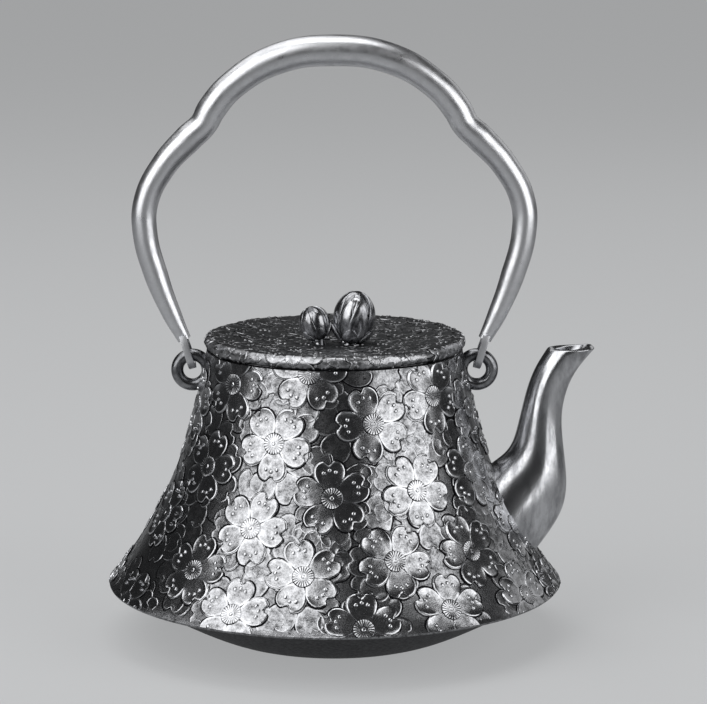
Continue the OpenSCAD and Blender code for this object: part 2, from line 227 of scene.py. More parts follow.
# the flat ground, rubbed in passing: grey metal that shows through patches of black
ground_iron = relief_finish("blackened_ground_iron", "#18181a", "#c2c3c6", 0.45, 0.4, 0.22, 1.3)
print("relief finishes:", relief_iron.name, behind_iron.name, ground_iron.name)

# %% [markdown]
# ## One cherry blossom
# Each blossom in the casting is about 27 mm across: five notched petals round a disc of stamens.
# A petal is a low plateau with a rounded rim, and three drops stand near its tip.
# Round each petal a low flange stays black: oxide in the groove at the petal's foot, and painted shade where
# the petal rises from the ground.
# The petal is a filled circle whose points are set on the outline, then extruded ring by ring.
# It could be sculpted, but rings give clean rims, and each ring can carry its own number for wear and painted
# shade.
# It is made once, flat, and turned five times. Wrapping it round the body comes later.

# %% Helpers for working in edit mode
def deselect():
    bpy.ops.object.select_all(action="DESELECT")


def pick_only(obj):
    deselect()
    obj.select_set(True)
    bpy.context.view_layer.objects.active = obj


def grow_ring(scale, up, centre):
    """Extrudes the selected face, moves it up and scales it about a centre, all in millimetres."""
    bpy.ops.mesh.extrude_region_move(TRANSFORM_OT_translate={"value": (0, 0, up * MM)})
    bpy.ops.transform.resize(value=(scale, scale, 1), center_override=[c * MM for c in centre] + [0])


def join_all(parts, name):
    deselect()
    for part in parts:
        part.select_set(True)
    bpy.context.view_layer.objects.active = parts[0]
    bpy.ops.object.join()
    bpy.context.object.name = bpy.context.object.data.name = name
    return bpy.context.object


def set_wear_and_painted_light(obj, levels):
    """Gives every vertex the number of its ring, for wear and painted shade; levels holds one number for each
    ring, in order.
    """
    wear_and_painted_light = obj.data.attributes.new("wear_and_painted_light", "FLOAT", "POINT")
    per_ring = len(obj.data.vertices) // len(levels)
    for i in range(len(obj.data.vertices)):
        wear_and_painted_light.data[i].value = levels[min(i // per_ring, len(levels) - 1)]


# %% Model the petal
# Right half of a petal's outline in mm, from its base inside the disc out to the notch
half_petal = [(1.5, 2.8), (2.8, 4.0), (3.9, 5.2), (4.75, 6.6), (5.3, 8.2), (5.4, 9.8),
              (5.0, 11.3), (4.2, 12.4), (3.1, 13.1), (2.1, 13.35), (1.4, 13.0), (0.8, 12.3)]
outline = [(0, 2.4)] + half_petal + [(0, 11.8)] + [(-x, y) for x, y in reversed(half_petal)]
heart = (0, 8.6)                # the middle that its rings shrink towards
sides = len(outline)
flange = 1.1                    # the flange's size, as a share of the petal's
bury = -0.2                     # how far the underside lies below the body's surface
bpy.ops.mesh.primitive_circle_add(vertices=sides, radius=5 * MM, fill_type="NGON", location=(0, 0, 0))
petal = bpy.context.object
for vertex, (x, y) in zip(petal.data.vertices, outline):
    vertex.co = (x * MM, y * MM, bury * MM)
bpy.ops.object.mode_set(mode="EDIT")
bpy.ops.mesh.select_all(action="SELECT")
bpy.ops.transform.resize(value=(flange, flange, 1), center_override=(0, heart[1] * MM, 0))
grow_ring(1, 0.65, heart)               # a low flange all round, which stays black: oxide and painted shade at the petal's foot
grow_ring(1.01 / flange, 0.05, heart)   # in to the petal's own outline
grow_ring(0.97, 0.33, heart)            # up its side
grow_ring(0.94, 0.12, heart)            # over the rounded rim
grow_ring(0.86, -0.2, heart)            # down inside the rim
grow_ring(0.5, -0.05, heart)            # and across the nearly flat middle
bpy.ops.mesh.poke()
bpy.ops.object.mode_set(mode="OBJECT")
for vertex in petal.data.vertices:          # the rim fades out towards the disc
    if vertex.co.z > 0 and vertex.co.y < 6 * MM:
        vertex.co.z = min(vertex.co.z, 0.72 * MM)
# the flange and the side are dark as oxide and as painted shade at the petal's foot; the rim is rubbed
# brightest
set_wear_and_painted_light(petal, [-0.6, -0.6, -0.3, 0.8, 1, 0.75, 0.54, 0.5])
print("petal:", len(petal.data.vertices), "vertices")

# %% Model a drop
bpy.ops.mesh.primitive_circle_add(vertices=8, radius=0.9 * MM, fill_type="NGON", location=(0, 0, 0))
drop = bpy.context.object
drop.data.transform(Matrix.Translation((0, 0, 0.55 * MM)))      # it starts below the petal's face
bpy.ops.object.mode_set(mode="EDIT")
bpy.ops.mesh.select_all(action="SELECT")
grow_ring(1, 0.18, (0, 0))          # a narrow black ring round the drop: painted shadow at its foot
grow_ring(0.8, 0.02, (0, 0))
grow_ring(0.8, 0.4, (0, 0))
grow_ring(0.5, 0.12, (0, 0))
bpy.ops.mesh.poke()
bpy.ops.object.mode_set(mode="OBJECT")
set_wear_and_painted_light(drop, [-0.1, -0.1, -0.1, 1, 1, 1])
print("drop:", len(drop.data.vertices), "vertices")

# %% Model the disc of stamens
stamens = 22
fine = 3 * stamens              # three points to each stamen, one of them in the valley beside it
bpy.ops.mesh.primitive_circle_add(vertices=fine, radius=4.0 * MM, fill_type="NGON", location=(0, 0, 0))
disc = bpy.context.object
disc.data.transform(Matrix.Translation((0, 0, bury * MM)))
bpy.ops.object.mode_set(mode="EDIT")
bpy.ops.mesh.select_all(action="SELECT")
grow_ring(1, 0.92, (0, 0))              # a flange again, up to the petals' faces, dark like theirs: oxide and painted shade
grow_ring(0.95, 0.02, (0, 0))
grow_ring(0.97, 0.4, (0, 0))            # the disc's side
grow_ring(0.8, 0.02, (0, 0))            # the stamens' heads
grow_ring(0.5, -0.12, (0, 0))           # the stamens, sloping in
grow_ring(0.5, 0, (0, 0))
grow_ring(0.6, 0.25, (0, 0))            # the button in the middle
bpy.ops.mesh.poke()
bpy.ops.object.mode_set(mode="OBJECT")
set_wear_and_painted_light(disc, [-0.4, -0.4, -0.2, 1, 1, 0.8, 0.55, 1, 1])
for i, vertex in enumerate(disc.data.vertices):
    if i % 3 == 0 and i // fine in (3, 4):      # the valley between two stamens
        vertex.co.z -= 0.13 * MM
        disc.data.attributes["wear_and_painted_light"].data[i].value = 0.45
print("disc:", stamens, "stamens")

# %% Turn the petal into a blossom
petal_turn = 72                 # degrees from one petal to the next


def copy_of(obj):
    made = obj.copy()
    made.data = obj.data.copy()
    bpy.context.scene.collection.objects.link(made)
    return made


plain_petal = copy_of(petal)        # for the blossoms behind, which show only bare tips
petal_parts = [petal]
for x, y in ((-2.1, 9.2), (0, 10), (2.1, 9.2)):
    one = copy_of(drop)
    one.data.transform(Matrix.Translation((x * MM, y * MM, 0)))
    petal_parts.append(one)
petal = join_all(petal_parts, "petal")
ring = [petal]
for turn in range(1, 5):
    one = copy_of(petal)
    one.data.transform(Matrix.Rotation(math.radians(-petal_turn * turn), 4, "Z"))
    ring.append(one)
whorl = join_all(ring, "whorl")
blossom = join_all([whorl, disc], "blossom")
bpy.data.objects.remove(drop)
print("blossom:", sum(len(f.vertices) - 2 for f in blossom.data.polygons), "triangles")

# %% [markdown]
# ## Wrap the blossoms round the body
# The body's side is a flare, so a flat blossom is laid on it by length:
# up and down along the side's own curve, and across by turning about the axis.
# A Shrinkwrap would pull the petals' height flat, so the points are moved in code.
# Whole blossoms stand about 25 mm apart. Under each lies a lower one, turned half a petal and
# pushed outwards, so that its tips show between the petals, and lower ones still fill the holes.
# Because each layer is flatter, the layer above cuts it off with a clean dark edge.

# %% The side of the body, as a curve
def bezier_row(points, steps):
    rows = []
    for i in range(steps + 1):
        t = i / steps
        u = 1 - t
        w = (u ** 3, 3 * u * u * t, 3 * u * t * t, t ** 3)
        rows.append(tuple(sum(w[k] * points[k][axis] for k in range(4)) for axis in (0, 1)))
    return rows


class Side:
    """A row of (radius, height) points in mm, measured by the length along it."""

    def __init__(self, row):
        self.row = row
        self.run = [0]
        for a, b in zip(row, row[1:]):
            self.run.append(self.run[-1] + math.dist(a, b))
        self.length = self.run[-1]

    def at(self, s):
        """Radius, height and outward normal at a length s from the start."""
        s = min(max(s, 0), self.length)
        k = next(k for k in range(1, len(self.run)) if s <= self.run[k] + 1e-9)
        a, b = self.row[k - 1], self.row[k]
        t = (s - self.run[k - 1]) / (self.run[k] - self.run[k - 1])
        step = ((b[0] - a[0]), (b[1] - a[1]))
        long = math.hypot(*step)
        return a[0] + step[0] * t, a[1] + step[1] * t, (-step[1] / long, step[0] / long)


# From the mouth's edge down to the skirt's edge; the four points are the curve's own
flank = Side(bezier_row([(47.2, 107.5), (53.2, 68), (64, 45), (84, 19)], 26))
print("side length:", round(flank.length, 1), "mm")

# %% Lay a flat blossom on the side
# The hole behind the spout is drilled square to the side
port, port_rise = Vector((65, 0, 48)), math.radians(31)
port_way = Vector((math.cos(port_rise), 0, math.sin(port_rise)))


def stays_bare(point):
    """No relief stands under the lugs or inside the spout's root."""
    if point.z > 88 and abs(point.y) < 2.7:
        return True
    off = point - port
    along = off.dot(Vector((math.sin(port_rise), 0, -math.cos(port_rise))))
    return point.x > 0 and (along / 19.3) ** 2 + (point.y / 14.8) ** 2 < 1


first_mm, last_mm = 0.6, 96.4   # the relief keeps this far down the side, between its two edges


def wrap(obj, around, down, turn, height):
    """Lays a flat blossom on the body: around in degrees from the front, down in mm, turned clockwise.
    Height is how much of the flat blossom's relief is kept."""
    turned = Matrix.Rotation(math.radians(-turn), 4, "Z")
    for vertex in obj.data.vertices:
        x, y, up = (c / MM for c in turned @ vertex.co)
        r, z, (nr, nz) = flank.at(min(max(down - y, first_mm), last_mm))
        angle = math.radians(around) + x / r
        sunk = stays_bare(Vector((r * math.sin(angle), -r * math.cos(angle), z)))
        lift = bury if sunk else (up - bury) * height + bury
        r, z = r + nr * lift, z + nz * lift
        vertex.co = (r * math.sin(angle) * MM, -r * math.cos(angle) * MM, z * MM)


# %% Where the blossoms are
# Degrees round from the front, millimetres down from the mouth, and the turn of the first petal
front_blossoms = [
    (-24, 27, 35), (-1, 45.5, -5), (30, 44.5, 37), (15.5, 19.5, -20), (-28, 58, 22), (-9, 74, -13),
    (31, 89, 10), (-27, 90, 5), (-48, 8, 13), (-11, 1.5, 2), (45, 12, 40), (-54, 39, 15),
    (18, 69, 33), (45, 69.5, -15), (58.5, 42, 12), (59, 91, 5), (7, 93.5, 0), (-44, 76.5, 5),
    (-72, 61, 20), (-78, 20, 0), (75, 67, 10)]


def apart(a, b):
    """Distance in mm between two places on the side."""
    around = math.radians(((a[0] - b[0]) + 180) % 360 - 180)
    return math.hypot(around * flank.at((a[1] + b[1]) / 2)[0], a[1] - b[1])


def moved(place, aim, far):
    """The place that is far mm away, in the direction aim in degrees, clockwise from straight up."""
    aim = math.radians(aim)
    return (place[0] + math.degrees(far * math.sin(aim) / flank.at(place[1])[0]),
            place[1] - far * math.cos(aim))


# No blossoms under the lugs and the spout's root
bare_places = [(-90, 8.5), (90, 8.5), (90, 50), (90, 62), (90, 75)]


def fill(placed, spacing, top, bottom, above=None, near=0, far=0):
    """Adds places to the list, each time where there is most room, until less than spacing is left.
    If above is given, each centre hides under one of those blossoms, near to far mm off its centre."""
    spots = [(a, top + (bottom - top) * k / 40) for a in range(-180, 180, 3) for k in range(41)]
    if above:
        spots = [p for p in spots if near < min(apart(p, q) for q in above) < far]
    room = [min(apart(p, q) for q in placed + bare_places) for p in spots]
    while max(room) >= spacing:
        best = room.index(max(room))
        placed.append((spots[best][0], spots[best][1], len(placed) * 37 % petal_turn))
        room = [min(r, apart(p, placed[-1])) for r, p in zip(room, spots)]
    return placed


# %% Set out the four layers
# The spacing of the whole ones, the low ones and the lowest is in mm, from one middle to the next
upper = fill(list(front_blossoms), 23.5, 0, 96)
upper += [(71, 20, 25), (90, 28.5, 10)]     # two more between the lug and the spout
low = [p for p in fill(list(upper), 16.5, 0, 96)[len(upper):] if abs(p[0]) > 95]
middle = [(*moved((around, down), 40 + 137 * k, 4), turn + petal_turn // 2)
          for k, (around, down, turn) in enumerate(upper)]
lower = fill([], 15, -2, 98, upper, 7, 9.5)
print("blossoms:", len(upper), "whole,", len(low), "low at the back,",
      len(middle), "under the whole ones,", len(lower), "between")

# %% [markdown]
# ## Bare casting of the body
# Under the blossoms the casting is a plain wall, turned round the kettle's axis like a pot on a wheel.
# The solid has its own simple blossoms cast on, so it can't be the ground for these, and is replaced.
# A Screw modifier could turn the wall; Spin in edit mode does it as by hand.
# A row of points drawn once and spun in 180 steps is smooth enough for polished metal.

# %% Spin the wall
def spin_solid(row, name):
    """Turns a closed row of (radius, height) points into a ring-shaped solid."""
    bpy.ops.mesh.primitive_circle_add(vertices=len(row), radius=MM, fill_type="NOTHING", location=(0, 0, 0))
    made = bpy.context.object
    made.name = made.data.name = name
    for vertex, (r, z) in zip(made.data.vertices, row):
        vertex.co = (r * MM, 0, z * MM)
    bpy.ops.object.mode_set(mode="EDIT")
    bpy.ops.mesh.select_all(action="SELECT")
    bpy.ops.mesh.spin(steps=180, angle=math.tau, center=(0, 0, 0), axis=(0, 0, 1))
    bpy.ops.mesh.select_all(action="SELECT")
    bpy.ops.mesh.remove_doubles(threshold=1e-6)
    bpy.ops.mesh.normals_make_consistent(inside=False)
    bpy.ops.object.mode_set(mode="OBJECT")
    return made


def rounded(r, z, size, start, end):
    """Points of a rounded corner round (r, z), from one angle to another."""
    return [(r + size * math.cos(math.radians(a)), z + size * math.sin(math.radians(a)))
            for a in range(start, end + 1, 15)]


def apply_modifier(obj, kind, **settings):
    pick_only(obj)
    made = obj.modifiers.new(kind, kind)
    for name, value in settings.items():
        setattr(made, name, value)
    bpy.ops.object.modifier_apply(modifier=made.name)


inside = bezier_row([(75.6, 24.5), (58.6, 48), (48.8, 68), (43.6, 101)], 26)
wall = ([(78, 24.5), (78, 19)] + rounded(83.1, 19.9, 0.9, -90, 0) + flank.row[-2:0:-1]
        + rounded(46.3, 106.6, 0.9, 0, 90) + [(41, 107.5), (41, 101)] + inside[::-1])
casting = spin_solid(wall, "bare_casting")
bpy.ops.mesh.primitive_cylinder_add(
    vertices=64, radius=9 * MM, depth=40 * MM, location=port * MM,
    rotation=(0, math.pi / 2 - port_rise, 0))
drill = bpy.context.object
apply_modifier(casting, "BOOLEAN", operation="DIFFERENCE", object=drill, solver="EXACT")
bpy.data.objects.remove(drill)
pick_only(casting)
bpy.ops.object.shade_smooth_by_angle(angle=math.radians(30))
wear_and_painted_light = casting.data.attributes.new("wear_and_painted_light", "FLOAT", "POINT")
mouth_edge = 106.9 * MM         # above this height the mouth's edge is painted black: painted shade under the lid's rim
for vertex in casting.data.vertices:
    wear_and_painted_light.data[vertex.index].value = -1.0 if vertex.co.z > mouth_edge else 0.0
casting.data.materials.append(ground_iron)
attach(casting, "kettle")
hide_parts("body_shell")
print("casting:", [round(d / MM, 1) for d in casting.dimensions], "mm")

# %% Lay the blossoms on the body
port_clear = 12                 # mm round the hole's middle that no relief may cover
crisp = math.radians(14)        # edges of the relief that are sharper than this aren't smoothed


def count_triangles(obj):
    return sum(len(f.vertices) - 2 for f in obj.data.polygons)


def finish_relief(parts, name, material):
    """Joins the parts, cuts away what lies over the hole behind the spout, and adds the finish."""
    piece = join_all(parts, name)
    pick_only(piece)
    in_port = [(f.center / MM - port).cross(port_way).length < port_clear and f.center.x > 0
               for f in piece.data.polygons]
    piece.data.vertices.foreach_set("select", [False] * len(piece.data.vertices))
    piece.data.edges.foreach_set("select", [False] * len(piece.data.edges))
    piece.data.polygons.foreach_set("select", in_port)
    bpy.ops.object.mode_set(mode="EDIT")
    bpy.ops.mesh.delete(type="FACE")
    bpy.ops.object.mode_set(mode="OBJECT")
    bpy.ops.object.shade_smooth_by_angle(angle=crisp)
    piece.data.materials.append(material)
    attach(piece, "kettle")
    print(name, len(parts), "parts,", count_triangles(piece), "triangles")


# Name, places, height as a share of the flat blossom's, and finish
for name, spots, height, iron in (("upper_blossoms", upper, 0.8, relief_iron),
                                  ("low_blossoms", low, 0.48, behind_iron)):
    copies = []
    for around, down, turn in spots:
        one = copy_of(blossom)
        wrap(one, around, down, turn, height)
        copies.append(one)
    finish_relief(copies, name, iron)

# %% Lay the petals behind, where their tips show
tip_reach = 12                  # mm from a blossom's middle to its petal's tip
# Name, places, height, and how far in mm a tip must be from every whole blossom's middle to show
for name, spots, height, gap in (("middle_blossoms", middle, 0.48, 10.5),
                                 ("lower_blossoms", lower, 0.4, 13)):
    tips = []
    for around, down, turn in spots:
        for aim in range(turn, turn + 360, petal_turn):
            tip = moved((around, down), aim, tip_reach)
            if min(apart(tip, q) for q in upper) > gap:
                one = copy_of(plain_petal)
                wrap(one, around, down, aim, height)
                tips.append(one)
    finish_relief(tips, name, behind_iron)
bpy.data.objects.remove(plain_petal)

# %% [markdown]
# ## Blossoms on the lid
# The lid has the same pattern, smaller and shallower, and it runs over the rounded rim.
# Seen from above the lid is nearly flat, so the blossoms could simply be set down on it,
# but they would hang over the rim. So past the dish their points follow the rim's curve by length.
# The lid's middle lies in the dish and is rubbed little; the rim's upper edge is made bright, as hand wear
# and as a painted highlight.

# %% The top of the lid, as a curve from its middle out
rim = [(46.1 + 1.7 * math.cos(math.radians(a)), 109.6 + 2.1 * math.sin(math.radians(a)))
       for a in range(90, -91, -15)]
dish = bezier_row([(12, 108.5), (24, 108.7), (36, 110.1), (43.8, 111.7)], 10)
lid_side = Side([(0, 108.5)] + dish + rim)
rim_top = lid_side.length - 4.2         # the rim's upper edge, by length
bright_rim_width = 1.6                         # mm either side of it that is made bright: hand wear and a painted highlight
print("lid, from its middle over the rim:", round(lid_side.length, 1), "mm")


def lay_on_lid(obj, around, out, turn, size, height):
    """Lays a flat blossom on the lid: out mm from the middle, in the direction around."""
    turned = Matrix.Rotation(math.radians(-turn), 4, "Z")
    middle = Vector((out * math.sin(math.radians(around)), -out * math.cos(math.radians(around))))
    wear_and_painted_light = obj.data.attributes["wear_and_painted_light"].data
    for vertex in obj.data.vertices:
        x, y, up = (c / MM for c in turned @ vertex.co)
        spot = middle + Vector((x, y)) * size
        length = min(spot.length, lid_side.length - 0.5)
        # a band of bare metal along the rim's upper edge: hand wear and a painted highlight
        bare_metal_share = math.exp(-((length - rim_top) / bright_rim_width) ** 2)
        wear_and_painted_light[vertex.index].value = 0.6 * wear_and_painted_light[vertex.index].value + 0.45 * bare_metal_share
        r, z, (nr, nz) = lid_side.at(length)
        lift = (up - bury) * height + bury
        r, z = r + nr * lift, z + nz * lift
        flat = spot.normalized() * r
        vertex.co = (flat.x * MM, flat.y * MM, z * MM)


# %% Where the lid's blossoms are
def spot_gap(a, b):
    return math.hypot(a[1] * math.cos(math.radians(a[0])) - b[1] * math.cos(math.radians(b[0])),
                      a[1] * math.sin(math.radians(a[0])) - b[1] * math.sin(math.radians(b[0])))


# Degrees round and mm out from the middle; each new one goes where there is most room
lid_spots = [(a, r) for r in range(14, 50, 3) for a in range(0, 360, 6)]
lid_upper, lid_lower = [(200, 20, 0)], []
for spots, spacing in ((lid_upper, 19.5), (lid_lower, 12)):
    while True:
        taken = lid_upper + lid_lower
        best = max(lid_spots, key=lambda p: min(spot_gap(p, q) for q in taken))
        if min(spot_gap(best, q) for q in taken) < spacing:
            break
        spots.append((best[0], best[1], len(taken) * 29 % petal_turn))
print("on the lid:", len(lid_upper), "upper and", len(lid_lower), "lower blossoms")

# %% Lay the blossoms on the lid
lid_size = 0.8                  # they are four fifths of the body's
# the lid's relief, rubbed little: small glints on the drops and rims, dark between them
lid_relief_iron = relief_finish("blackened_lid_relief_iron", "#1a1a1c", "#cccdd0", -0.06, 0.4, 0.28)
for name, spots, height in (("lid_upper_blossoms", lid_upper, 0.56),
                            ("lid_lower_blossoms", lid_lower, 0.36)):
    copies = []
    for around, out, turn in spots:
        one = copy_of(blossom)
        lay_on_lid(one, around, out, turn, lid_size, height)
        copies.append(one)
    piece = join_all(copies, name)
    pick_only(piece)
    bpy.ops.object.shade_smooth_by_angle(angle=crisp)
    piece.data.materials.append(lid_relief_iron)
    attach(piece, "lid")
    print(name, count_triangles(piece), "triangles")
bpy.data.objects.remove(blossom)

# %% [markdown]
# ## Smooth iron and steel
# The spout, lugs and buds are the same blackened iron, filed smooth and burnished all over.
# The bail, hooks and washers are bright steel with a satin polish, and the pan is left as cast.
# One even grey with one roughness would look like plastic film, so in each of them
# one noise varies the tint and the roughness together: where the polish is better it is brighter.

# %% Smooth metal finishes
# Patches of better polish 4 mm across, about 1000 / 4. The scratches in them are a hundredth of that,
# too fine to show, so the patches are drawn alone.
polish_scale = 260


def smooth_metal(name, colour, dark_colour, roughness, along, mark):
    """Along stretches the patches: below 1 makes them long that way. Mark is the depth of the tool marks."""
    made, tree = new_material(name)
    place = add_node(tree, "ShaderNodeTexCoord").outputs["Object"]
    drawn = add_node(tree, "ShaderNodeMapping", {"Vector": place, "Scale": along})
    cloud = add_node(tree, "ShaderNodeTexNoise", {
        "Vector": drawn.outputs[0], "Scale": polish_scale, "Detail": 5, "Roughness": 0.6})
    tint = add_node(tree, "ShaderNodeMapRange", {
        "Value": cloud.outputs["Fac"], "From Min": 0.35, "From Max": 0.62})
    mixed = add_node(tree, "ShaderNodeMix", {
        "Factor": tint.outputs[0], "A": linear(dark_colour), "B": linear(colour)}, data_type="RGBA")
    rough = add_node(tree, "ShaderNodeMapRange", {
        "Value": cloud.outputs["Fac"], "From Min": 0.3, "From Max": 0.7,
        "To Min": roughness + 0.08, "To Max": roughness - 0.06})
    bump = add_node(tree, "ShaderNodeBump", {
        "Height": cloud.outputs["Fac"], "Strength": mark, "Distance": 0.15 * MM})
    shade = add_node(tree, "ShaderNodeBsdfPrincipled", {
        "Base Color": mixed.outputs["Result"], "Metallic": 1.0, "Roughness": rough.outputs[0],
        "Normal": bump.outputs[0]})
    add_node(tree, "ShaderNodeOutputMaterial", {"Surface": shade.outputs[0]})
    return made


# the spout is rubbed up and down: wavy mirror stripes along it
burnished = smooth_metal("burnished_iron", "#d2d3d6", "#9c9da0", 0.21, (1, 1, 0.35), 0.3)
# the lugs keep most of their black: dark, with narrow bright lines
lug_iron = smooth_metal("burnished_lug_iron", "#9a9b9e", "#5e5f62", 0.24, (1, 1, 1), 0.3)
# the buds are polished by every hand that lifts the lid: sharp highlights, dark in the folds
bud_iron = smooth_metal("burnished_bud_iron", "#c6c7ca", "#6c6d70", 0.2, (1, 1, 0.5), 0.3)
# satin steel: a broad soft band of light along the bail and no colour
satin_steel = smooth_metal("satin_steel", "#e4e5e8", "#d4d5d8", 0.33, (1, 1, 1), 0.06)
# the hooks are only brushed, so they shine evenly and show no sharp reflection
hook_steel = smooth_metal("brushed_hook_steel", "#dcdde0", "#cccdd0", 0.4, (1, 1, 1), 0.08)
# the pan as it left the sand: black, matt and finely pitted, its grain a millimetre across
black_cast = smooth_metal("black_sand_casting", "#434447", "#2a2b2e", 0.5, (3, 3, 3), 0.6)
print("smooth finishes:", burnished.name, lug_iron.name, bud_iron.name)
print("steel and pan:", satin_steel.name, hook_steel.name, black_cast.name)

# %% [markdown]
# ## Bail
# The bail is forged from round bar: thick at the crown, waisted at the two shoulders, thin at its ends.
# A curve with a round bevel does exactly that, because each point carries its own radius.
# Extruding rings would need every turn worked out. The curve is then turned into a mesh,
# so that it exports as a solid surface, and made a little deeper from front to back.

# %% Draw the bail
# x, z and thickness in mm, from an end to the crown
half_bail = [(55.36, 110.35, 5.0), (60, 120, 7.1), (65.4, 134, 8.8), (69.4, 150, 9.1), (68.9, 161.5, 9.2),
             (62.4, 174.5, 9.6), (53.2, 184.6, 10.5), (47.8, 189.7, 10.1), (44.6, 195.4, 10.6),
             (37, 204, 10.5), (20.5, 213.6, 11.2), (0, 216.6, 11.5)]
whole_bail = [(-x, z, t) for x, z, t in half_bail] + half_bail[-2::-1]
bpy.ops.curve.primitive_bezier_curve_add(location=(0, 0, 0))
curve = bpy.context.object
spline = curve.data.splines[0]
spline.bezier_points.add(len(whole_bail) - 2)
for point, (x, z, thick) in zip(spline.bezier_points, whole_bail):
    point.co = (x * MM, 0, z * MM)
    point.radius = thick / 2
    point.handle_left_type = point.handle_right_type = "AUTO"
curve.data.dimensions = "3D"
curve.data.bevel_depth = MM
curve.data.bevel_resolution = 10
curve.data.resolution_u = 14
curve.data.use_fill_caps = True
pick_only(curve)
bpy.ops.object.convert(target="MESH")
bail = bpy.context.object
bail.name = bail.data.name = "forged_bail"
depth_share = 1.06              # its depth from front to back, as a share of its thickness
bail.data.transform(Matrix.Diagonal((1, depth_share, 1, 1)))
bpy.ops.object.shade_smooth_by_angle(angle=math.radians(40))
bail.data.materials.clear()
bail.data.materials.append(satin_steel)
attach(bail, "handle")
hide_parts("bail")
print("bail:", [round(d / MM, 1) for d in bail.dimensions], "mm")

# %% [markdown]
# ## Spout
# The spout is an S-shaped tube, oval in section, wide where it meets the body and flared at its mouth.
# A bevelled curve, as on the bail, would give it round sections and a square-cut mouth.
# So oval rings are extruded one after another along it, each as wide and as tilted as it needs to be,
# a Subdivision Surface rounds them, Solidify gives the wall, and a Boolean trims the root to the body.

# %% Model the spout
# Outer x and z, inner x and z, half width, all in mm, from inside the body to the mouth
spout_rows = [(68, 22, 47, 54, 16.5), (75.9, 32, 58.4, 63.6, 14), (82.2, 40.8, 63.3, 67, 11.8),
              (85.8, 48.5, 65.9, 71, 10.2), (86.4, 57.5, 67.4, 75.8, 9), (85, 68.5, 68.8, 82, 8.1),
              (83.7, 79.5, 70.3, 88.6, 7.3), (84.7, 88.5, 71.9, 94.4, 6.9), (88.2, 98.2, 74.5, 100.7, 6.8),
              (96, 107, 78.7, 107.1, 6.8)]
spout_sides = 24
grow = 1.0087                   # a subdivided ring of 24 points shrinks by this much
spout_wall, lip_round = 2.1, 0.5        # mm


def oval(row):
    ax, az, bx, bz, wide = row
    points = []
    for i in range(spout_sides):
        turn = math.radians(360 * i / spout_sides)
        c, w = math.cos(turn) * grow, math.sin(turn) * grow
        points.append(MM * Vector((
            (ax + bx) / 2 + (ax - bx) / 2 * c, wide * w, (az + bz) / 2 + (az - bz) / 2 * c)))
    return points


bpy.ops.mesh.primitive_circle_add(
    vertices=spout_sides, radius=10 * MM, fill_type="NOTHING", location=(0, 0, 0))
spout = bpy.context.object
for vertex, place in zip(spout.data.vertices, oval(spout_rows[0])):
    vertex.co = place
for row in spout_rows[1:]:
    bpy.ops.object.mode_set(mode="EDIT")
    bpy.ops.mesh.extrude_region_move(TRANSFORM_OT_translate={"value": (0, 0, MM)})
    bpy.ops.object.mode_set(mode="OBJECT")
    for vertex, place in zip(list(spout.data.vertices)[-spout_sides:], oval(row)):
        vertex.co = place
print("spout:", len(spout_rows), "rings of", spout_sides, "points")


# %% Give the spout its wall
def face_outwards(obj):
    pick_only(obj)
    bpy.ops.object.mode_set(mode="EDIT")
    bpy.ops.mesh.select_all(action="SELECT")
    bpy.ops.mesh.normals_make_consistent(inside=False)
    bpy.ops.object.mode_set(mode="OBJECT")


apply_modifier(spout, "SUBSURF", levels=2, render_levels=2)
face_outwards(spout)
volume = sum(f.center.dot(f.normal) * f.area for f in spout.data.polygons)
print("spout faces", "outwards" if volume > 0 else "inwards")
apply_modifier(spout, "SOLIDIFY", thickness=spout_wall * MM, offset=-1, use_even_offset=True)
apply_modifier(spout, "BEVEL", width=lip_round * MM, segments=3,
               limit_method="ANGLE", angle_limit=math.radians(60))

# %% Trim its root to the body
root_depth = 0.6                # mm that the root is let into the body's side
side_row = [(r - root_depth, z) for r, z in reversed(flank.row)]
bpy.ops.mesh.primitive_circle_add(
    vertices=180, radius=side_row[0][0] * MM, fill_type="NGON", location=(0, 0, side_row[0][1] * MM))
cutter = bpy.context.object
bpy.ops.object.transform_apply(location=True)
bpy.ops.object.mode_set(mode="EDIT")
bpy.ops.mesh.select_all(action="SELECT")
for (r, z), (next_r, next_z) in zip(side_row, side_row[1:]):
    grow_ring(next_r / r, next_z - z, (0, 0))
bpy.ops.object.mode_set(mode="OBJECT")
face_outwards(cutter)
apply_modifier(spout, "BOOLEAN", operation="DIFFERENCE", object=cutter, solver="EXACT")
bpy.data.objects.remove(cutter)
spout.name = spout.data.name = "smooth_spout"
pick_only(spout)
bpy.ops.object.shade_smooth_by_angle(angle=math.radians(40))
spout.data.materials.append(burnished)
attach(spout, "kettle")
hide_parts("spout")
print("spout:", len(spout.data.polygons), "faces,", [round(d / MM, 1) for d in spout.dimensions], "mm")

# %% [markdown]
# ## Hooks
# Each hook is a strip of steel bent round the lug's bar. Its solid is right, only its edges are too sharp.
# It could be bent again from a flat strip, but then it might not fit the bar as the solid does.
# So a copy of the solid is merged, its flat faces are dissolved into one each, and a Bevel rounds every edge.

